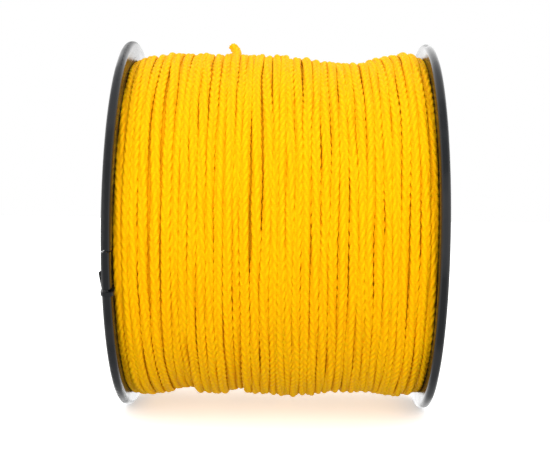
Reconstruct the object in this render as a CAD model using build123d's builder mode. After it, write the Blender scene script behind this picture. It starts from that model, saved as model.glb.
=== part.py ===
from build123d import *
import os
from math import cos, pi, radians, sin, tan

# Spool of braided fishing line, in millimetres.
# The spool's axis lies along X, +Z is up, and the origin is on the axis midway between the flanges.
# The front is -Y. Angles round the axis start at the front and grow towards the top (+Z).
# The right flange and its catch are the left ones turned half a turn about Z: one mould makes both.

# ---- Driving dimensions ----
flange_diameter = 70.0
overall_width = 57.7        # over the outer faces of the two rims
rim_thickness = 1.7
bore_diameter = 16.0        # the peg or shaft that carries the spool
barrel_diameter = 42.0      # the line is wound straight onto this
winding_diameter = 66.0
line_diameter = 1.5

# ---- Flange plate ----
recess_depth = 0.6          # pockets in the outer face, between the ribs
rim_width = 2.2             # flat band of full thickness along the edge
ring_width = 2.4            # stiffening ring behind the barrel's wall
boss_diameter = 24.0
rib_count = 8
first_rib_angle = 22.5
rib_width = 1.4
pocket_corner = 0.8
rim_rounding = 0.8          # the rim's edge is all but half round
drive_hole_diameter = 6.4   # for a winder's driving pins
drive_hole_circle = 29.2
drive_hole_count = 4

# ---- Hub: the arbor tube sits in a socket on each flange ----
arbor_wall = 1.4
arbor_play = 0.05
socket_wall = 1.5
socket_depth = 8.0
end_chamfer = 0.3

# ---- Spigot: six fingers inside each end of the barrel, two of them barbed ----
barrel_wall = 1.6
spigot_play = 0.05
spigot_wall = 1.4
spigot_depth = 7.0
finger_gap = 5.0
finger_count = 6
first_gap_angle = 30.0
barb_height = 0.8
barb_width = 6.0
barb_start = 3.8            # from the flange's inner face to the barb's catching step
barb_length = 2.4
barb_angles = (0.0, 180.0)
web_angles = (45.0, 135.0, 225.0, 315.0)
web_width = 1.2
web_depth = 4.0
window_play = 0.15

# ---- Catch: a springy tongue in the rim that traps the free end of the line ----
# The line slides in through the slit at the tongue's tip. A wedge on the tongue lifts it.
catch_hinge_angle = -7.5
catch_tip_angle = -18.0
catch_lip_angle = -18.75    # the slit lies between the tongue's tip and the lip
catch_lip_end_angle = -19.9
lip_outside = 0.2           # how far the lip stands proud of the rim's outer face,
lip_inside = 0.4            # of its inner face
lip_above = 0.08            # and of its edge
lip_root_radius = 33.3
catch_inner_radius = 31.6
catch_slit = 0.4
catch_root_gap_angle = 0.33
bead_radius = 0.35          # the tongue turns on a bead in a groove across its root
groove_radius = 0.45
tongue_thickness = 1.6
tongue_rounding = 0.75
tongue_reach = 6.4
wedge_start = 3.15          # along the rim, from the hinge
wedge_peak = 3.5
wedge_height = 0.42

# ---- The line's two ends ----
anchor_angle = 210.0        # the inner end enters the barrel between two spigot fingers
anchor_slot_length = 5.0
anchor_slot_width = 2.2
anchor_slot_shift = 1.0     # along the winding direction, because the line leaves it slantwise
knot_radius = 1.9
knot_height = 2.6
knot_rounding = 1.2

# ---- Worked-out sizes ----
flange_radius = flange_diameter / 2
bore_radius = bore_diameter / 2
barrel_radius = barrel_diameter / 2
winding_radius = winding_diameter / 2
line_radius = line_diameter / 2
boss_radius = boss_diameter / 2
half_width = overall_width / 2
inner_face = half_width - rim_thickness
barrel_bore_radius = barrel_radius - barrel_wall
spigot_radius = barrel_bore_radius - spigot_play
arbor_radius = bore_radius + arbor_wall
socket_radius = arbor_radius + arbor_play
first_turn = inner_face - line_radius
first_turn_radius = barrel_radius + line_radius

# A plane square to the axis, seen from the left: its x points to the front and its y up.
left_side = Plane(origin=(0, 0, 0), x_dir=(0, -1, 0), z_dir=(-1, 0, 0))
inside_plane = left_side.offset(inner_face)
outside_plane = left_side.offset(half_width)


def outward(angle):
    """Unit vector from the axis towards the given angle round it."""
    return Vector(0, -cos(radians(angle)), sin(radians(angle)))


def onward(angle):
    """Unit vector round the axis, towards growing angles."""
    return Vector(0, sin(radians(angle)), cos(radians(angle)))


def meridian(angle):
    """Plane through the axis: its x is the radius and its y is X."""
    return Plane(origin=(0, 0, 0), x_dir=outward(angle), z_dir=onward(angle))


def ring_sector(inner, outer, start, end):
    """Flat piece of a ring between two radii and two angles."""
    with BuildSketch() as sector:
        with BuildLine():
            rim = CenterArc((0, 0), outer, start, end - start)
            root = CenterArc((0, 0), inner, start, end - start)
            Line(rim @ 0, root @ 0)
            Line(rim @ 1, root @ 1)
        make_face()
    return sector.sketch


def spoke_pockets(inner, outer):
    """Ring between two radii, parted by the ribs, with rounded pocket corners."""
    with BuildSketch() as pockets:
        Circle(outer)
        Circle(inner, mode=Mode.SUBTRACT)
        with PolarLocations((inner + outer) / 2, rib_count, start_angle=first_rib_angle):
            Rectangle(2 * (outer - inner), rib_width, mode=Mode.SUBTRACT)
        fillet(pockets.vertices(), pocket_corner)
    return pockets.sketch


def cord_tube(points, name):
    """Round tube along straight runs and tangent arcs, as open as its runs allow."""
    corners = [Vector(*point) for point in points]
    runs = [end - start for start, end in zip(corners, corners[1:])]
    radii = []
    for before, after in zip(runs, runs[1:]):
        half_turn = radians(before.get_angle(after)) / 2
        radii.append(0.45 * min(before.length, after.length) / tan(half_turn))
    with BuildPart() as tube:
        with BuildLine() as path:
            FilletPolyline(*corners, radius=radii)
        with BuildSketch(Plane(origin=corners[0], z_dir=runs[0])):
            Circle(line_radius)
        sweep()
    length = path.wire().length
    expected = pi * line_radius ** 2 * length
    print(name, "arc radii", [round(radius, 1) for radius in radii], "length", round(length, 2))
    print(name, "volume", round(tube.part.volume, 3), "section x length", round(expected, 3))
    return tube


# Square to the catch's hinge line: its x runs along the rim and its y towards the outer face.
hinge_outside = half_width - tongue_thickness / 2
hinge_end = outward(catch_hinge_angle) * (flange_radius + rim_thickness)
catch_plane = Plane(
    origin=(-hinge_outside, hinge_end.Y, hinge_end.Z),
    x_dir=onward(catch_hinge_angle) * -1,
    z_dir=outward(catch_hinge_angle) * -1,
)


# ---- Flanges ----
with BuildPart() as left_flange:
    with BuildSketch(inside_plane):
        Circle(flange_radius)
    extrude(amount=rim_thickness)
    fillet(left_flange.edges().filter_by(GeomType.CIRCLE), rim_rounding)
    # Pockets in the outer face leave the rim, the ribs, the stiffening ring and the hub boss.
    with BuildSketch(outside_plane):
        add(spoke_pockets(barrel_radius + ring_width / 2, flange_radius - rim_width))
        add(spoke_pockets(boss_radius, barrel_radius - ring_width / 2))
    extrude(amount=-recess_depth, mode=Mode.SUBTRACT)
    # Hub socket for the arbor tube
    with BuildSketch(inside_plane):
        Circle(socket_radius + socket_wall)
        Circle(socket_radius, mode=Mode.SUBTRACT)
    extrude(amount=-socket_depth)
    # Spigot ring, parted into fingers
    with BuildSketch(inside_plane):
        Circle(spigot_radius)
        Circle(spigot_radius - spigot_wall, mode=Mode.SUBTRACT)
        with PolarLocations(spigot_radius, finger_count, start_angle=first_gap_angle):
            Rectangle(4 * spigot_wall, finger_gap, mode=Mode.SUBTRACT)
    extrude(amount=-spigot_depth)
    # Webs brace the plain fingers against the socket.
    with BuildSketch(inside_plane):
        for angle in web_angles:
            with PolarLocations((socket_radius + spigot_radius) / 2, 1, start_angle=angle):
                Rectangle(spigot_radius - socket_radius - socket_wall, web_width)
    extrude(amount=-web_depth)
    # Barbs with a square catching step and a ramp towards the finger's tip
    for angle in barb_angles:
        with BuildSketch(meridian(angle)):
            with BuildLine():
                Polyline(
                    (spigot_radius - spigot_wall / 2, -inner_face + barb_start),
                    (spigot_radius + barb_height, -inner_face + barb_start),
                    (spigot_radius + barb_height, -inner_face + barb_start + barb_length / 4),
                    (spigot_radius, -inner_face + barb_start + barb_length),
                    (spigot_radius - spigot_wall / 2, -inner_face + barb_start + barb_length),
                    close=True,
                )
            make_face()
        extrude(amount=barb_width / 2, both=True)
    # Bore, drive holes and the room for the catch
    with BuildSketch(outside_plane):
        Circle(bore_radius)
        with PolarLocations(drive_hole_circle / 2, drive_hole_count):
            Circle(drive_hole_diameter / 2)
        add(
            ring_sector(
                catch_inner_radius - catch_slit,
                flange_radius + rim_thickness,
                catch_lip_angle,
                catch_hinge_angle + catch_root_gap_angle,
            )
        )
    extrude(amount=-rim_thickness, mode=Mode.SUBTRACT)
    with BuildSketch(catch_plane):
        Circle(groove_radius)
    extrude(amount=flange_radius + rim_thickness - catch_inner_radius + catch_slit, mode=Mode.SUBTRACT)
    # Lip round the rim like a collar, beyond the slit
    lip_length = flange_radius * radians(catch_lip_angle - catch_lip_end_angle)
    with BuildSketch(meridian((catch_lip_angle + catch_lip_end_angle) / 2)) as lip_section:
        with Locations((flange_radius + lip_above, -half_width - lip_outside)):
            Rectangle(
                flange_radius + lip_above - lip_root_radius,
                rim_thickness + lip_outside + lip_inside,
                align=(Align.MAX, Align.MIN),
            )
        fillet(lip_section.vertices().group_by(Axis.X)[-1], rim_rounding)
    extrude(amount=lip_length / 2, both=True)
left_flange.part.label = "left_flange"

with BuildPart() as right_flange:
    add(left_flange.part.rotate(Axis.Z, 180))
right_flange.part.label = "right_flange"

# ---- Catches ----
with BuildPart() as left_clip:
    with BuildSketch(catch_plane):
        half = tongue_thickness / 2
        with BuildLine():
            Polyline(
                (0, -half),
                (tongue_reach, -half),
                (tongue_reach, half),
                (wedge_peak, half + wedge_height),
                (wedge_start, half),
                (0, half),
                close=True,
            )
        make_face()
        Circle(bead_radius)
    extrude(amount=flange_radius - catch_inner_radius + 2 * rim_thickness)
    with BuildSketch(left_side.offset(inner_face - rim_thickness)):
        add(ring_sector(catch_inner_radius, flange_radius, catch_tip_angle, 0))
    extrude(amount=4 * rim_thickness, mode=Mode.INTERSECT)
    # The tongue's edge is rounded like the rim's, and the wedge stops short of the rounding.
    with BuildSketch(meridian(0)) as tongue_section:
        with Locations((catch_inner_radius, -half_width)):
            Rectangle(
                flange_radius - catch_inner_radius,
                tongue_thickness,
                align=(Align.MIN, Align.MIN),
            )
        fillet(tongue_section.vertices().group_by(Axis.X)[-1], tongue_rounding)
        with Locations((catch_inner_radius, -half_width)):
            Rectangle(
                flange_radius - tongue_rounding - catch_inner_radius,
                2 * wedge_height,
                align=(Align.MIN, Align.MAX),
            )
    revolve(axis=Axis.X, mode=Mode.INTERSECT)
left_clip.part.label = "left_clip"

with BuildPart() as right_clip:
    add(left_clip.part.rotate(Axis.Z, 180))
right_clip.part.label = "right_clip"

# ---- Barrel and arbor tube ----
with BuildPart() as barrel:
    with BuildSketch(left_side.offset(-inner_face)):
        Circle(barrel_radius)
        Circle(barrel_bore_radius, mode=Mode.SUBTRACT)
    extrude(amount=2 * inner_face)
    bore_edges = barrel.edges().filter_by(GeomType.CIRCLE).sort_by(SortBy.RADIUS)[:2]
    chamfer(bore_edges, end_chamfer)
    # Windows for the barbs, at both ends
    window_middle = inner_face - barb_start - barb_length / 2
    for middle in (-window_middle, window_middle):
        for angle in barb_angles:
            window = Plane(origin=(middle, 0, 0), x_dir=(1, 0, 0), z_dir=outward(angle))
            with BuildSketch(window):
                Rectangle(barb_length + 2 * window_play, barb_width + 2 * window_play)
            extrude(amount=barrel_diameter, mode=Mode.SUBTRACT)
    # Anchor slot, along the winding direction
    slot_plane = Plane(
        origin=onward(anchor_angle) * anchor_slot_shift - Vector(first_turn, 0, 0),
        x_dir=onward(anchor_angle),
        z_dir=outward(anchor_angle),
    )
    with BuildSketch(slot_plane):
        SlotOverall(anchor_slot_length, anchor_slot_width)
    extrude(amount=barrel_diameter, mode=Mode.SUBTRACT)
barrel.part.label = "barrel"

with BuildPart() as arbor_tube:
    with BuildSketch(left_side.offset(-inner_face)):
        Circle(arbor_radius)
        Circle(bore_radius, mode=Mode.SUBTRACT)
    extrude(amount=2 * inner_face)
    outer_edges = arbor_tube.edges().filter_by(GeomType.CIRCLE).sort_by(SortBy.RADIUS)[-2:]
    chamfer(outer_edges, end_chamfer)
arbor_tube.part.label = "arbor_tube"

# ---- The wound line ----
with BuildPart() as line_coil:
    with BuildSketch(left_side.offset(-inner_face)):
        Circle(winding_radius)
        Circle(barrel_radius, mode=Mode.SUBTRACT)
    extrude(amount=2 * inner_face)
line_coil.part.label = "line_coil"

# The inner end, from its knot out through the anchor slot to the first turn. Each point is how far
# it lies in from the first turn's place, how far below that turn, and how far along the winding.
start_route = ((1.3, 5.15, -1.3), (0.6, 3.25, -0.6), (0.15, 1.65, 0.75), (0, 0.4, 2.6), (0, 0, 4.8))
start_points = [
    outward(anchor_angle) * (first_turn_radius - below)
    + onward(anchor_angle) * along
    + Vector(inward - first_turn, 0, 0)
    for inward, below, along in start_route
]
line_start = cord_tube([tuple(point) for point in start_points], "line_start")
line_start.part.label = "line_start"

# The free end stands up off the top of the winding, left of the middle, and leans to the left.
end_points = ((-8.0, -7.9, 31.3), (-8.0, -5.67, 32.16), (-8.2, -3.5, 33.25), (-8.88, -2.13, 34.2))
line_end = cord_tube(end_points, "line_end")
line_end.part.label = "line_end"

# Knot on the inner end, inside the barrel
with BuildPart(Plane(origin=start_points[0], z_dir=outward(anchor_angle))) as anchor_knot:
    Cylinder(knot_radius, knot_height)
    fillet(anchor_knot.edges().filter_by(GeomType.CIRCLE), knot_rounding)
anchor_knot.part.label = "anchor_knot"

os.makedirs("parts", exist_ok=True)
export_step(left_flange.part, "parts/left_flange.step")
export_step(right_flange.part, "parts/right_flange.step")
export_step(left_clip.part, "parts/left_clip.step")
export_step(right_clip.part, "parts/right_clip.step")
export_step(barrel.part, "parts/barrel.step")
export_step(arbor_tube.part, "parts/arbor_tube.step")
export_step(line_coil.part, "parts/line_coil.step")
export_step(line_start.part, "parts/line_start.step")
export_step(line_end.part, "parts/line_end.step")
export_step(anchor_knot.part, "parts/anchor_knot.step")
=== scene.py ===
from math import cos, pi, radians

import bpy
import numpy as np
from mathutils import Matrix, Vector


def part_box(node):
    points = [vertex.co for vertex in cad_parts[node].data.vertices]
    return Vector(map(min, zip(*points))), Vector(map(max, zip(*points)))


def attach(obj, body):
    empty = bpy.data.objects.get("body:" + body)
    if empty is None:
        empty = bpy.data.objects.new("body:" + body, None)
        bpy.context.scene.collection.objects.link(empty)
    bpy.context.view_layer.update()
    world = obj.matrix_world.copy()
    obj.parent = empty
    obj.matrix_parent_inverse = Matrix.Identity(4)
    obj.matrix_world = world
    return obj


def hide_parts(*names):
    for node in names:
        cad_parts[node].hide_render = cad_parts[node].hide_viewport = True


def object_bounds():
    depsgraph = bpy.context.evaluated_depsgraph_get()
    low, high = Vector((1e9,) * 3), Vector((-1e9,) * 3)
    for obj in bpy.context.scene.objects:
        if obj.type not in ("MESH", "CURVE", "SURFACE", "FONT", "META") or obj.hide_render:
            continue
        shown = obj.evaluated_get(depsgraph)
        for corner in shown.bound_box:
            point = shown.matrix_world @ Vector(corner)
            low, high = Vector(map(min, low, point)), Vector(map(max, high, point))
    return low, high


# A spool of golden braided fishing line, seen from the front. Metres, in the CAD's own frame:
# the axis lies along X, +Z is up and the origin is on the axis midway between the flanges.
# Angles round the axis start at the front (-Y) and grow towards the top (+Z).

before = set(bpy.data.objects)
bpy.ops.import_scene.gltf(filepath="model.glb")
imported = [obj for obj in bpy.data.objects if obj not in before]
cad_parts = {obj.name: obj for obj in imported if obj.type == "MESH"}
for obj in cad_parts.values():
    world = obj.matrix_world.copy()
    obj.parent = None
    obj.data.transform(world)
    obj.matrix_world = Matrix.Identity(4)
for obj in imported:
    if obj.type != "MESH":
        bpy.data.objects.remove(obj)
cad_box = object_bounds()
MM = 0.001
SEED = 11

# ---- Sizes that come from the frame ----
COIL_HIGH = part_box("line_coil")[1]
INNER_FACE = COIL_HIGH[0]
COIL_RADIUS = COIL_HIGH[2]
BARREL_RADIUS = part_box("barrel")[1][2]
FLOOR_HEIGHT = cad_box[0][2]

# ---- The line and its winding ----
LINE = 1.5 * MM
TURNS_PER_LAYER = 36
FULL_LAYERS = 8
POINTS_PER_TURN = 72
FINE = 16                       # points of the smooth line for each of those
FIRST_RADIUS = BARREL_RADIUS + LINE / 2
SURFACE_RADIUS = COIL_RADIUS - LINE / 2 - 0.1 * MM
HIGHEST_RADIUS = COIL_RADIUS - LINE / 2 + 0.4 * MM
LEFT_END = -INNER_FACE + LINE / 2
RIGHT_END = INNER_FACE - LINE / 2
PITCH = (RIGHT_END - LEFT_END) / (TURNS_PER_LAYER - 1)
ANCHOR_ANGLE = 210.0
# Each turn keeps its place along the axis round the front and shifts by one line behind.
CROSSOVER = 0.36
# The turns against the flanges lie lower than the rest, most of all at the top.
EDGE_DROP = 0.95 * MM
EDGE_DROP_BELOW = 0.4           # of that drop, from the middle of the front downwards
EDGE_WIDTH = 0.75 * LINE
# How far the line strays from an even winding
SURFACE_STRAY = 0.1 * MM
SIDEWAYS_STRAY = 0.2 * MM
OWN_SIDEWAYS_STRAY = 0.06 * MM
OWN_HEIGHT_STRAY = 0.09 * MM
STEADIER_AT_END = 0.9           # how much less it strays sideways beside the last turn
SQUEEZE = 0.3                   # how far the turns just under the surface rise, in layers
HIGHEST_PART = 1.02             # of the way from the barrel to the surface
LAST_STRETCH = 0.3              # turns in which the line comes to where its free end starts
STEP_BACK = 0.06                # turns in which the top layer narrows by a line past its end
RISE_RATE = 1.6                 # how fast the layer below comes up past the top layer's edge
RISE_DELAY = 0.3

# The inner end, in mm: how far each point lies in from the first turn's place, how far below
# that turn, and how far along the winding.
START_ROUTE = ((1.3, 5.15, -1.3), (0.6, 3.25, -0.6), (0.15, 1.65, 0.75), (0, 0.4, 2.6), (0, 0, 4.8))
# The free end, in mm, from the last turn to the cut tip
END_ROUTE = ((-8.0, -7.9, 31.3), (-8.0, -5.67, 32.16), (-8.2, -3.5, 33.25), (-8.88, -2.13, 34.2))

# Low and high places on the wound surface: place along the axis, half width, angle and half
# angle round the axis in degrees, and height.
UNEVEN = (
    (12.8 * MM, 5.6 * MM, 90, 75, -1.4 * MM),
    (14.0 * MM, 7.0 * MM, 270, 60, -0.5 * MM),
    (-6.8 * MM, 1.3 * MM, 270, 70, -1.1 * MM),
    (-16.8 * MM, 2.4 * MM, 270, 60, -1.0 * MM),
    (-24.6 * MM, 2.4 * MM, 90, 60, -0.6 * MM),
    (-16.5 * MM, 4.5 * MM, 90, 60, 0.2 * MM),
    (22.6 * MM, 1.6 * MM, 270, 50, 0.3 * MM),
    (1.0 * MM, 4.0 * MM, 270, 50, 0.2 * MM),
    (5.0 * MM, 3.0 * MM, 90, 60, -0.5 * MM),
    (2.3 * MM, 0.7 * MM, 84, 9, -0.9 * MM),
    (25.0 * MM, 3.0 * MM, 90, 60, 0.6 * MM),
    (-24.8 * MM, 3.0 * MM, 270, 60, 0.5 * MM),
)


def outward(angle):
    """Unit vectors from the axis towards angles in radians."""
    return np.stack([np.zeros_like(angle), -np.cos(angle), np.sin(angle)], axis=-1)


def onward(angle):
    """Unit vectors round the axis, towards growing angles."""
    return np.stack([np.zeros_like(angle), np.sin(angle), np.cos(angle)], axis=-1)


def unit(vectors):
    return vectors / np.linalg.norm(vectors, axis=1)[:, None]


def distances(points):
    """Distance along a line to each of its points."""
    return np.concatenate([[0], np.cumsum(np.linalg.norm(np.diff(points, axis=0), axis=1))])


def smooth_step(value):
    value = np.clip(value, 0, 1)
    return value * value * (3 - 2 * value)


def hump(value, middle, half_width):
    """One at the middle, falling to nothing on both sides of it."""
    return np.exp(-(((value - middle) / half_width) ** 2))


def waves(rng, count, lowest, highest):
    """Random frequencies, phases and weights for a smooth wandering signal of height about one."""
    frequency = rng.uniform(lowest, highest, count)
    weight = frequency**-0.4
    return frequency, rng.uniform(0, 2 * pi, count), weight / np.sqrt((weight**2).sum() / 2)


def wander(signal, at):
    frequency, phase, weight = signal
    return (np.sin(2 * pi * at[:, None] * frequency + phase) * weight).sum(axis=1)


def field(rng, count, shortest_wave):
    """Terms of a smooth random surface over the place along the axis and the angle round it."""
    along_axis = rng.uniform(-1, 1, count) * 2 * pi / (shortest_wave * LINE)
    return along_axis, rng.integers(0, 6, count), rng.uniform(0, 2 * pi, count)


def over(terms, x, angle):
    along_axis, around, phase = terms
    heights = np.cos(x[:, None] * along_axis + angle[:, None] * around + phase)
    return heights.sum(axis=1) / np.sqrt(len(along_axis) / 2)


def surface_radius(x, angle):
    """Radius of the outermost turns' centres."""
    radius = SURFACE_RADIUS + SURFACE_STRAY * over(SURFACE_FIELD, x, angle)
    for middle, half_width, where, half_angle, height in UNEVEN:
        turn = (np.degrees(angle) - where + 180) % 360 - 180
        bump = np.exp(-(((x - middle) / half_width) ** 4) - (turn / half_angle) ** 2)
        radius = radius + height * bump
    part = EDGE_DROP_BELOW + (1 - EDGE_DROP_BELOW) * np.maximum(np.sin(angle), 0)
    radius = radius - EDGE_DROP * part * hump(np.abs(x), RIGHT_END, EDGE_WIDTH)
    return np.minimum(radius, HIGHEST_RADIUS)


def steps(turn):
    """How many lines' widths the winding has moved along the axis after that many turns."""
    whole = np.floor(turn)
    return whole + smooth_step((turn - whole - 1 + CROSSOVER) / CROSSOVER)


def beyond_top_layer(x, angle):
    """Nought where the last, part layer lies on top, and one past the edge of its last turn."""
    past = ((angle - END_ANGLE) / (2 * pi)) % 1
    lines = steps(LAST_LAYER_TURNS - 1 + past) + 1 - smooth_step(past / STEP_BACK)
    edge = LEFT_END + PITCH * lines
    return smooth_step(RISE_RATE * (x - edge) / PITCH - RISE_DELAY)


def winding(turn):
    """Centres of the line after that many turns, counted from the first turn's start."""
    angle = START_ANGLE + 2 * pi * turn
    layer = np.floor(turn / TURNS_PER_LAYER)
    into = turn - layer * TURNS_PER_LAYER
    across = PITCH * np.minimum(steps(into), TURNS_PER_LAYER - 1)
    x = np.where(layer % 2 == 0, LEFT_END + across, RIGHT_END - across)
    room = np.clip((RIGHT_END - np.abs(x)) / (2 * LINE), 0, 1)
    # Where the top layer ends, the layer below comes up beside its last turn.
    beyond = beyond_top_layer(x, angle)
    layers_here = FULL_LAYERS + 1 - beyond
    # Every other layer lies half a line aside, in the furrows of the layers next to it. The last
    # full layer does so only where the top layer covers it.
    alternate = (layer + 1) % 2 * (layer < FULL_LAYERS)
    aside = np.where(layer == FULL_LAYERS - 1, 1 - beyond, alternate)
    x = x - room * aside * PITCH / 2
    x = x + LAST_TURN_SHIFT * hump(x, END_X, 4 * LINE)
    steady = 1 - STEADIER_AT_END * hump(x, END_X, 2 * LINE)
    x = x + room * steady * SIDEWAYS_STRAY * over(SIDEWAYS_FIELD, x, angle)
    x = x + room * OWN_SIDEWAYS_STRAY * wander(OWN_SIDEWAYS, turn)
    climb = smooth_step((into - TURNS_PER_LAYER + CROSSOVER) / CROSSOVER)
    # The turns just under the surface are squeezed up between those that cover them.
    layers_over = layers_here - 1 - layer
    squeezed = SQUEEZE * np.clip(1 - np.abs(layers_over - 1), 0, 1)
    part = np.minimum((layer + climb + squeezed) / (layers_here - 1), HIGHEST_PART)
    radius = FIRST_RADIUS + (surface_radius(x, angle) - FIRST_RADIUS) * part
    off_barrel = np.minimum(turn / TURNS_PER_LAYER, 1)
    radius = radius + OWN_HEIGHT_STRAY * wander(OWN_HEIGHT, turn) * off_barrel
    near_end = smooth_step(1 - (TOTAL_TURNS - turn) / LAST_STRETCH)
    radius = radius + near_end * (END_RADIUS - radius)
    x = x + near_end * (END_X - x)
    return x[:, None] * np.array([1.0, 0, 0]) + radius[:, None] * outward(angle)


rng = np.random.default_rng(SEED)
SURFACE_FIELD = field(rng, 14, shortest_wave=8)
SIDEWAYS_FIELD = field(rng, 18, shortest_wave=3.5)
OWN_SIDEWAYS = waves(rng, 60, lowest=0.4, highest=24.0)
OWN_HEIGHT = waves(rng, 60, lowest=0.4, highest=24.0)

anchor = np.array(radians(ANCHOR_ANGLE))
start_points = [
    outward(anchor) * (FIRST_RADIUS - below * MM)
    + onward(anchor) * forward * MM
    + np.array([LEFT_END + inward * MM, 0, 0])
    for inward, below, forward in START_ROUTE
]
end_points = [np.array(point) * MM for point in END_ROUTE]
first, last = start_points[-1], end_points[0]
START_ANGLE = float(np.arctan2(first[2], -first[1])) + 2 * pi / POINTS_PER_TURN
END_X = float(last[0])
END_ANGLE = float(np.arctan2(last[2], -last[1]))
END_RADIUS = float(np.hypot(last[1], last[2]))
full_turns = FULL_LAYERS * TURNS_PER_LAYER
leftover = (END_ANGLE - START_ANGLE) / (2 * pi) - 1 / POINTS_PER_TURN
TOTAL_TURNS = round(full_turns + (END_X - LEFT_END) / PITCH - leftover) + leftover
LAST_LAYER_TURNS = TOTAL_TURNS - full_turns
LAST_TURN_SHIFT = END_X - LEFT_END - PITCH * float(steps(LAST_LAYER_TURNS))

turn_numbers = np.linspace(0, TOTAL_TURNS, round(TOTAL_TURNS * POINTS_PER_TURN) + 1)
turn_points = winding(turn_numbers)
# A quadratic spline runs inside its control points, so the turns' points stand that much out.
turn_points[:, 1:] /= cos(pi / POINTS_PER_TURN)


def spline_points(points):
    """Points along the smooth line that has these control points."""
    curve = bpy.data.curves.new("line_route", "CURVE")
    curve.dimensions = "3D"
    curve.resolution_u = FINE
    spline = curve.splines.new("NURBS")
    spline.points.add(len(points) - 1)
    spline.points.foreach_set("co", np.c_[np.array(points), np.ones(len(points))].ravel())
    spline.order_u = 3
    spline.use_endpoint_u = True
    holder = bpy.data.objects.new("line_route", curve)
    mesh = bpy.data.meshes.new_from_object(holder)
    places = np.zeros(len(mesh.vertices) * 3, np.float32)
    mesh.vertices.foreach_get("co", places)
    bpy.data.meshes.remove(mesh)
    bpy.data.objects.remove(holder)
    bpy.data.curves.remove(curve)
    return places.reshape(-1, 3).astype(float)


fine = spline_points([*start_points, *turn_points, *end_points])
along = distances(fine)


def frames(points):
    """Tangent, outward normal and sideways direction at each point of a line."""
    tangent = unit(np.gradient(points, axis=0))
    side = unit(np.array([1.0, 0, 0]) - tangent * tangent[:, :1])
    return tangent, np.cross(side, tangent), side


# ---- The braid ----
COLUMNS = 4
LOBE = 1.84 * MM                # spacing of the strands' lobes along one column
UNEVEN_SPACING = 0.12           # how far the lobes stray, in lobes
SLANT = 1.3                     # lobes passed while crossing one column
TWIST_LENGTH = 90 * MM          # of line for one twist of the whole braid
UNEVEN_TWIST = 0.9              # how far the twist strays, in radians
RELIEF = 0.36 * MM
CORE = 0.48 * MM
LOWEST_LOBE = 0.2               # height between two lobes, as a part of the relief
LOBE_SHAPE = 0.8
CROWN_SHAPE = 0.6
# Pressed against its neighbours, the line is smoother and fuller at its sides.
SIDE_FILL = 0.08 * MM
SIDE_SMOOTHING = 0.45
# Wound tight, the line is pressed wider than it is thick.
FLATNESS = 0.9
WIDENING = 1.26
FLANGE_SIDE = INNER_FACE - 0.03 * MM
# The buried layers have no lobes.
PLAIN_HEIGHT = 0.6
PLAIN_RADIUS = CORE + 0.7 * RELIEF
TWIST = waves(rng, 12, lowest=2.0, highest=14.0)
UNEVEN_LOBES = waves(rng, 30, lowest=30.0, highest=260.0)


def braid(distance, theta):
    """Radius of the braid's surface, its lobes' coordinate and how high each point stands."""
    at = distance[:, 0]
    twist = distance / TWIST_LENGTH * 2 * pi + UNEVEN_TWIST * wander(TWIST, at)[:, None]
    column = (theta + twist) / (2 * pi / COLUMNS)
    index = np.round(column)
    within = column - index
    odd = index % 2
    lobe_at = distance / LOBE + UNEVEN_SPACING * wander(UNEVEN_LOBES, at)[:, None]
    # Neighbouring columns slant opposite ways, half a lobe apart.
    lobe_at = lobe_at + (1 - 2 * odd) * within * SLANT + 0.5 * odd
    lobe = (0.5 + 0.5 * np.cos(2 * pi * lobe_at)) ** LOBE_SHAPE
    crown = np.cos(pi * within) ** CROWN_SHAPE
    height = crown * (LOWEST_LOBE + (1 - LOWEST_LOBE) * lobe)
    side = np.sin(theta) ** 2
    radius = CORE + SIDE_FILL * side + RELIEF * (1 - SIDE_SMOOTHING * side) * height
    return radius, lobe_at, height


def tube(points, distance, theta, braided):
    """Rings of a closed tube along the points."""
    _, normal, side = frames(points)
    distance = distance[:, None]
    theta = np.broadcast_to(theta, (len(points), len(theta)))
    if braided:
        radius, lobe_at, height = braid(distance, theta)
    else:
        radius = np.full(theta.shape, PLAIN_RADIUS)
        lobe_at = distance / LOBE + 0 * theta
        height = np.full(theta.shape, PLAIN_HEIGHT)
    outwards = FLATNESS * np.cos(theta)[..., None] * normal[:, None]
    sideways = WIDENING * np.sin(theta)[..., None] * side[:, None]
    rings = points[:, None] + radius[..., None] * (outwards + sideways)
    # The turns beside the flanges are pressed flat against them.
    rings[..., 0] = np.clip(rings[..., 0], -FLANGE_SIDE, FLANGE_SIDE)
    return rings, lobe_at, height


# ---- The cut tip ----
TIP_STRANDS = 8
TIP_SIDES = 8
TIP_STRAND_RADIUS = 0.25 * MM
TIP_CIRCLE = 0.42 * MM
TIP_ROOT = 0.5 * MM             # how far the strands reach back into the line
TIP_REACH = (0.05, 0.3)         # range of the strands' lengths and splay, in mm
TIP_LOBES = 0.6
TIP_HEIGHT = 0.85
# Part of the strand's length, and its thickness there
TIP_SHAPE = ((0.0, 1.0), (0.45, 1.0), (0.8, 0.9), (0.94, 0.65), (1.0, 0.3))


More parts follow.
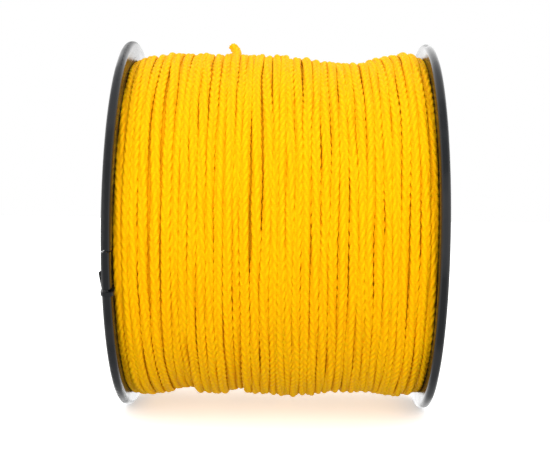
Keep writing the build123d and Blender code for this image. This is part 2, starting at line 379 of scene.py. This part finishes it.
def strand_ends(centre, tangent, normal, side):
    """The cut strands at the tip of the free end, a little splayed, as short closed tubes."""
    lengths = rng.uniform(*TIP_REACH, TIP_STRANDS) * MM
    splay = rng.uniform(*TIP_REACH, TIP_STRANDS) * MM
    theta = np.arange(TIP_SIDES)[:, None] * 2 * pi / TIP_SIDES
    ends = []
    for number in range(TIP_STRANDS):
        turn = 2 * pi * (number + 0.5) / TIP_STRANDS
        out = np.cos(turn) * normal + np.sin(turn) * side
        circle = np.cos(theta) * out + np.sin(theta) * np.cross(tangent, out)
        rings = []
        for part, size in TIP_SHAPE:
            middle = centre + (TIP_CIRCLE + part * part * splay[number]) * out
            middle = middle + (part * (lengths[number] + TIP_ROOT) - TIP_ROOT) * tangent
            rings.append(middle + TIP_STRAND_RADIUS * size * circle)
        lobe_at = np.linspace(0, TIP_LOBES, len(rings))[:, None] + np.zeros((1, TIP_SIDES))
        ends.append((np.array(rings), lobe_at, np.full(lobe_at.shape, TIP_HEIGHT)))
    return ends


def mesh_of(name, blocks):
    """One mesh of several closed tubes, with the braid's own coordinates as attributes."""
    points, faces, lobes, heights, start = [], [], [], [], 0
    for rings, lobe_at, height in blocks:
        count, sides = rings.shape[:2]
        index = start + np.arange(count * sides).reshape(count, sides)
        beside = np.roll(index, -1, axis=1)
        quads = np.stack([index[:-1], index[1:], beside[1:], beside[:-1]], axis=-1)
        faces += quads.reshape(-1, 4).tolist()
        faces += [index[0].tolist(), index[-1][::-1].tolist()]
        points.append(rings.reshape(-1, 3))
        lobes.append(lobe_at.ravel())
        heights.append(height.ravel())
        start += count * sides
    mesh = bpy.data.meshes.new(name)
    mesh.from_pydata(np.concatenate(points), [], faces)
    for label, values in (("lobe_at", lobes), ("height", heights)):
        attribute = mesh.attributes.new(label, "FLOAT", "POINT")
        attribute.data.foreach_set("value", np.concatenate(values).astype(np.float32))
    mesh.polygons.foreach_set("use_smooth", np.ones(len(mesh.polygons), bool))
    mesh.update()
    piece = bpy.data.objects.new(name, mesh)
    bpy.context.scene.collection.objects.link(piece)
    return piece


# ---- The line's mesh ----
per_turn = POINTS_PER_TURN * FINE
lead_in = (len(START_ROUTE) - 1) * FINE


def place_of(turn):
    """Index of the smooth line's point after that many turns."""
    return lead_in + int(turn * per_turn)


LEAD = 1.3                      # turns by which a braided stretch starts before its layer
TRAIL = 2.5                     # turns by which one runs on under the top layer
shown_from = (FULL_LAYERS - 1) * TURNS_PER_LAYER
back_under = shown_from + (RIGHT_END - END_X) / PITCH + TRAIL
covered_start = place_of(shown_from - TURNS_PER_LAYER)
shown_start = place_of(shown_from - LEAD)
shown_end = place_of(back_under)
top_start = place_of(full_turns - LEAD)
BURIED_SIDES = np.arange(6) * 2 * pi / 6
COVERED_SIDES = np.arange(10) * 2 * pi / 10
# The braid has most of its points on the side that can be seen.
BRAIDED_SIDES = np.radians([*np.linspace(-108, 108, 13), 150, 210])
# The buried layers are plain, and the outermost turns are braided: first and last point, how
# many points apart the rings stand, their sides, and whether they are braided.
STRETCHES = (
    (0, covered_start, 3 * FINE, BURIED_SIDES, False),
    (covered_start, shown_start, FINE, COVERED_SIDES, False),
    (shown_start, shown_end, 1, BRAIDED_SIDES, True),
    (shown_end, top_start, FINE, COVERED_SIDES, False),
    (top_start, len(fine) - 1, 1, BRAIDED_SIDES, True),
)
blocks = []
for begin, end, stride, theta, braided in STRETCHES:
    picked = np.unique(np.append(np.arange(begin, end, stride), end))
    blocks.append(tube(fine[picked], along[picked], theta, braided))
blocks += strand_ends(fine[-1], *(axis[-1] for axis in frames(fine[-3:])))
line = mesh_of("line", blocks)


# ---- Materials ----
def material(name):
    made = bpy.data.materials.new(name)
    made.use_nodes = True
    return made, made.node_tree, made.node_tree.nodes["Principled BSDF"]


def node(tree, kind, **settings):
    made = tree.nodes.new(kind)
    for key, value in settings.items():
        if key in made.inputs:
            made.inputs[key].default_value = value
        else:
            setattr(made, key, value)
    return made


def calculate(tree, operation, *values):
    """Output of a Math node, from numbers and other nodes' outputs."""
    made = node(tree, "ShaderNodeMath", operation=operation)
    for socket, value in zip(made.inputs, values):
        if isinstance(value, bpy.types.NodeSocket):
            tree.links.new(value, socket)
        else:
            socket.default_value = value
    return made.outputs[0]


def between(tree, value, low, high, to_low, to_high):
    """A smooth change from one number to another while the value goes from low to high."""
    made = node(tree, "ShaderNodeMapRange", interpolation_type="SMOOTHSTEP")
    limits = {"From Min": low, "From Max": high, "To Min": to_low, "To Max": to_high}
    for key, limit in limits.items():
        made.inputs[key].default_value = limit
    tree.links.new(value, made.inputs["Value"])
    return made.outputs["Result"]


def noise(tree, where, **settings):
    made = node(tree, "ShaderNodeTexNoise", **settings)
    tree.links.new(where, made.inputs["Vector"])
    return made.outputs["Fac"]


def place_in(tree, coordinates):
    """The texture coordinates of that name, whole and as X, Y and Z."""
    where = node(tree, "ShaderNodeTexCoord").outputs[coordinates]
    place = node(tree, "ShaderNodeSeparateXYZ")
    tree.links.new(where, place.inputs["Vector"])
    return where, *(place.outputs[axis] for axis in "XYZ")


# Painted shade: the furrows of the braid get the darker, more orange colour and the crests the lit
# one.
FURROW_SHADE_COLOUR = (0.78, 0.365, 0.0, 1)
LIT_CREST_COLOUR = (0.88, 0.46, 0.0, 1)
PATCH_TINT = (0.97, 0.92, 0.9, 1)
FILAMENTS = 6                   # ridges of the filaments to each lobe


def line_material():
    """Golden braid, with painted shade: the furrows between the strands' lobes are painted darker
    and more orange than the lit crests.
    """
    made, tree, shader = material("braided_line")
    link = tree.links.new
    height = node(tree, "ShaderNodeAttribute", attribute_name="height")
    lobe = node(tree, "ShaderNodeAttribute", attribute_name="lobe_at")
    # Painted shade by each point's height: low points between the lobes are painted darker, high
    # ones lighter.
    ramp = node(tree, "ShaderNodeValToRGB")
    shaded_furrow, lit_crest = ramp.color_ramp.elements
    shaded_furrow.position, shaded_furrow.color = 0.05, FURROW_SHADE_COLOUR
    lit_crest.position, lit_crest.color = 0.7, LIT_CREST_COLOUR
    link(height.outputs["Fac"], ramp.inputs["Fac"])
    where = node(tree, "ShaderNodeTexCoord").outputs["Object"]
    tint = node(tree, "ShaderNodeMixRGB", blend_type="MULTIPLY", Color2=PATCH_TINT)
    link(noise(tree, where, Scale=300.0, Detail=3.0), tint.inputs["Fac"])
    link(ramp.outputs["Color"], tint.inputs["Color1"])
    link(tint.outputs["Color"], shader.inputs["Base Color"])
    shader.inputs["Roughness"].default_value = 0.7
    shader.inputs["Specular IOR Level"].default_value = 0.05
    shader.inputs["Subsurface Weight"].default_value = 0.3
    shader.inputs["Subsurface Radius"].default_value = (1.0, 0.45, 0.05)
    shader.inputs["Subsurface Scale"].default_value = 0.5 * MM
    # Filaments run along each strand.
    turns = calculate(tree, "MULTIPLY", lobe.outputs["Fac"], FILAMENTS * 2 * pi)
    bump = node(tree, "ShaderNodeBump", Strength=0.35, Distance=0.05 * MM)
    link(calculate(tree, "SINE", turns), bump.inputs["Height"])
    link(bump.outputs["Normal"], shader.inputs["Normal"])
    return made


# Places on the flanges where their finish changes, along the axis and by radius
RUBBED_RIM = (34.3 * MM, 35.0 * MM)
ABOVE_POCKET_FLOOR = (28.1 * MM, 28.2 * MM)
BELOW_OUTER_FACE = (28.3 * MM, 28.4 * MM)
POCKET_WALL = (32.6 * MM, 32.9 * MM)
EDGE_ROUNDING = 0.2 * MM
# How much each of these adds to the worn look, the roughness or the bumps
SCUFF_WEAR = 0.5
POCKET_WEAR = 0.8
WORN_ROUGHNESS = 0.2
MARK_DEPTH = 0.5
SCUFF_DEPTH = 0.4
POCKET_GRAIN = 2.5


def plastic_material(name, colour, worn_colour, roughness):
    """Moulded plastic: turning marks of the mould, fine grain, scuffs and a worn rim."""
    made, tree, shader = material(name)
    link = tree.links.new

    def calc(operation, *values):
        return calculate(tree, operation, *values)

    def product(first, second):
        return calc("MULTIPLY", first, second)

    where, x, y, z = place_in(tree, "Object")
    radius = calc("SQRT", calc("ADD", product(y, y), product(z, z)))
    angle = calc("ARCTAN2", z, y)
    # Turning marks depend on the radius alone. Scuffs run round the axis, so they are long in
    # the angle and short in the radius.
    marks = node(tree, "ShaderNodeTexNoise", noise_dimensions="1D", Scale=3500.0, Detail=2.0)
    link(radius, marks.inputs["W"])
    polar = node(tree, "ShaderNodeCombineXYZ")
    link(product(radius, 2600.0), polar.inputs["X"])
    link(product(angle, 1.7), polar.inputs["Y"])
    scuffs = noise(tree, polar.outputs["Vector"], Scale=1.0, Detail=3.0, Distortion=0.4)
    scuffed = between(tree, scuffs, 0.6, 0.72, 0.0, 1.0)
    grain = noise(tree, where, Scale=1400.0, Detail=4.0)
    smear = noise(tree, where, Scale=70.0, Detail=3.0)
    at_rim = between(tree, radius, *RUBBED_RIM, 0.0, 1.0)
    rubbed = product(at_rim, between(tree, smear, 0.45, 0.62, 0.1, 1.0))
    # The floors of the flanges' pockets have a duller, coarser finish than the ribs and the rim.
    out_from_middle = calc("ABSOLUTE", x)
    above_floor = between(tree, out_from_middle, *ABOVE_POCKET_FLOOR, 0.0, 1.0)
    below_face = between(tree, out_from_middle, *BELOW_OUTER_FACE, 1.0, 0.0)
    inside_wall = between(tree, radius, *POCKET_WALL, 1.0, 0.0)
    pocket = product(product(above_floor, below_face), inside_wall)
    worn = calc("MAXIMUM", rubbed, product(scuffed, SCUFF_WEAR))
    worn = calc("MAXIMUM", worn, product(pocket, POCKET_WEAR))
    tone = node(tree, "ShaderNodeMixRGB", Color1=(*colour, 1), Color2=(*worn_colour, 1))
    link(worn, tone.inputs["Fac"])
    link(tone.outputs["Color"], shader.inputs["Base Color"])
    dullness = between(tree, smear, 0.3, 0.7, roughness - 0.05, roughness + 0.06)
    link(calc("ADD", dullness, product(worn, WORN_ROUGHNESS)), shader.inputs["Roughness"])
    surface = calc("ADD", product(marks.outputs["Fac"], MARK_DEPTH), grain)
    surface = calc("SUBTRACT", surface, product(scuffed, SCUFF_DEPTH))
    surface = calc("ADD", surface, product(pocket, product(grain, POCKET_GRAIN)))
    # Moulded edges are slightly rounded and catch the light.
    rounded = node(tree, "ShaderNodeBevel", samples=4, Radius=EDGE_ROUNDING)
    bump = node(tree, "ShaderNodeBump", Strength=0.25, Distance=0.03 * MM)
    link(rounded.outputs["Normal"], bump.inputs["Normal"])
    link(surface, bump.inputs["Height"])
    link(bump.outputs["Normal"], shader.inputs["Normal"])
    return made


def put_on(piece, finish):
    piece.data.materials.clear()
    piece.data.materials.append(finish)


yellow = line_material()
put_on(line, yellow)
black = plastic_material(
    "black_plastic",
    colour=(0.006, 0.0068, 0.008),
    worn_colour=(0.016, 0.017, 0.019),
    roughness=0.22,
)
inner_black = plastic_material(
    "barrel_plastic",
    colour=(0.012, 0.012, 0.013),
    worn_colour=(0.022, 0.022, 0.023),
    roughness=0.42,
)
for name in ("left_flange", "right_flange", "left_clip", "right_clip"):
    put_on(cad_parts[name], black)
for name in ("barrel", "arbor_tube"):
    put_on(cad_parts[name], inner_black)


# ---- Knot on the inner end ----
KNOT_SIZE = 0.44 * MM
KNOT_HEIGHT = 1.1               # its size outwards, against its size along and across
KNOT_POINTS = 90
KNOT_SIDES = 12
KNOT_THICKNESS = 0.8            # of the line's, drawn tight


def make_knot():
    """An overhand knot, drawn up tight."""
    t = np.linspace(0, 2 * pi, KNOT_POINTS)
    loops = [np.sin(t) + 2 * np.sin(2 * t), np.cos(t) - 2 * np.cos(2 * t), -np.sin(3 * t)]
    local = np.stack(loops, axis=-1) * KNOT_SIZE
    out = outward(anchor)
    placed = (
        start_points[0]
        + local[:, :1] * np.array([1.0, 0, 0])
        + local[:, 1:2] * onward(anchor)
        + local[:, 2:] * out * KNOT_HEIGHT
    )
    tangent = unit(np.gradient(placed, axis=0))
    normal = unit(out - tangent * (tangent @ out)[:, None])
    side = np.cross(tangent, normal)
    theta = np.arange(KNOT_SIDES) * 2 * pi / KNOT_SIDES
    around = np.broadcast_to(theta, (KNOT_POINTS, KNOT_SIDES))
    radius, lobe_at, height = braid(distances(placed)[:, None], around)
    theta = theta[:, None]
    directions = np.cos(theta) * normal[:, None] + np.sin(theta) * side[:, None]
    rings = placed[:, None] + KNOT_THICKNESS * radius[..., None] * directions
    return mesh_of("line_knot", [(rings, lobe_at, height)])


knot = make_knot()
put_on(knot, yellow)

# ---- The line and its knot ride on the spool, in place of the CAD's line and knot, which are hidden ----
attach(line, "spool")
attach(knot, "spool")
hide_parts("line_coil", "line_start", "line_end")
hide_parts("anchor_knot")

# ---- Camera ----
CAMERA_LENS = 72.95
CAMERA_AT = (1.8 * MM, -217.6 * MM, 2.8 * MM)
CAMERA_YAW, CAMERA_PITCH, CAMERA_ROLL = radians(0.59), radians(-0.77), radians(0.70)
camera = bpy.data.objects.new("camera", bpy.data.cameras.new("camera"))
camera.data.lens = CAMERA_LENS
camera.data.clip_start = 0.01
turned = Matrix.Rotation(CAMERA_YAW, 4, "Z") @ Matrix.Rotation(pi / 2 + CAMERA_PITCH, 4, "X")
turned = turned @ Matrix.Rotation(CAMERA_ROLL, 4, "Z")
camera.matrix_world = Matrix.Translation(CAMERA_AT) @ turned
bpy.context.scene.collection.objects.link(camera)
bpy.context.scene.camera = camera

# ---- Floor and light ----
FLOOR_REACH = 4.0
FLOOR_CORNERS = ((-1, -1), (1, -1), (1, 1), (-1, 1))
floor_points = [(x * FLOOR_REACH, y * FLOOR_REACH, FLOOR_HEIGHT) for x, y in FLOOR_CORNERS]
floor_mesh = bpy.data.meshes.new("floor")
floor_mesh.from_pydata(floor_points, [], [(0, 1, 2, 3)])
floor = bpy.data.objects.new("floor", floor_mesh)
bpy.context.scene.collection.objects.link(floor)
pale, _, pale_shader = material("pale_floor")
pale_shader.inputs["Base Color"].default_value = (0.8, 0.8, 0.8, 1)
pale_shader.inputs["Roughness"].default_value = 0.9
pale_shader.inputs["Emission Color"].default_value = (1, 1, 1, 1)
pale_shader.inputs["Emission Strength"].default_value = 0.5
floor.data.materials.append(pale)
# The floor neither darkens the object from below nor shows in its plastic, as on a light table.
floor.visible_diffuse = False
floor.visible_glossy = False
floor.visible_shadow = False

EVEN_LIGHT = 1.05
MORE_FROM_ABOVE = 0.68
MIRRORED_IN_FRONT = 0.35
MIRRORED_BEHIND = 2.15
MIRRORED_SIDES = 0.6
# From these directions on, as parts of a unit vector
BACK_FROM_TO = (0.35, 0.97)
SIDES_FROM_TO = (0.6, 1.0)
BACK_TILT = 0.2


def studio_world():
    """Even light, a little stronger from above. The plastic mirrors a dim front, two wide panels
    to the sides and a bright back, which reaches lower above than below."""
    world = bpy.data.worlds.new("studio")
    world.use_nodes = True
    tree = world.node_tree
    link = tree.links.new
    glow = tree.nodes["Background"]
    _, x, y, z = place_in(tree, "Generated")
    even = calculate(tree, "MULTIPLY_ADD", z, MORE_FROM_ABOVE, EVEN_LIGHT)
    behind = calculate(tree, "MULTIPLY_ADD", z, BACK_TILT, y)
    back = between(tree, behind, *BACK_FROM_TO, MIRRORED_IN_FRONT, MIRRORED_BEHIND)
    aside = calculate(tree, "ABSOLUTE", x)
    panels = between(tree, aside, *SIDES_FROM_TO, 0.0, MIRRORED_SIDES)
    mirrored = calculate(tree, "ADD", back, panels)
    ray = node(tree, "ShaderNodeLightPath")
    lit = node(tree, "ShaderNodeMix")
    link(ray.outputs["Is Glossy Ray"], lit.inputs["Factor"])
    link(even, lit.inputs["A"])
    link(mirrored, lit.inputs["B"])
    # The camera sees plain white.
    seen = node(tree, "ShaderNodeMix", B=1.0)
    link(ray.outputs["Is Camera Ray"], seen.inputs["Factor"])
    link(lit.outputs["Result"], seen.inputs["A"])
    link(seen.outputs["Result"], glow.inputs["Strength"])
    glow.inputs["Color"].default_value = (1, 1, 1, 1)
    bpy.context.scene.world = world


studio_world()
bpy.context.scene.view_settings.view_transform = "Standard"

SOFTBOX_SIZE = 0.5
SOFTBOX_POWER = 2.0


def softbox(name, place):
    """A square light that points at the object and doesn't show in its plastic."""
    light = bpy.data.lights.new(name, "AREA")
    light.size = SOFTBOX_SIZE
    light.energy = SOFTBOX_POWER
    holder = bpy.data.objects.new(name, light)
    holder.location = place
    holder.rotation_euler = (-Vector(place)).to_track_quat("-Z", "Y").to_euler()
    holder.visible_glossy = False
    bpy.context.scene.collection.objects.link(holder)


softbox("left_light", (-0.36, -0.62, 0.0))
softbox("right_light", (0.36, -0.62, 0.0))
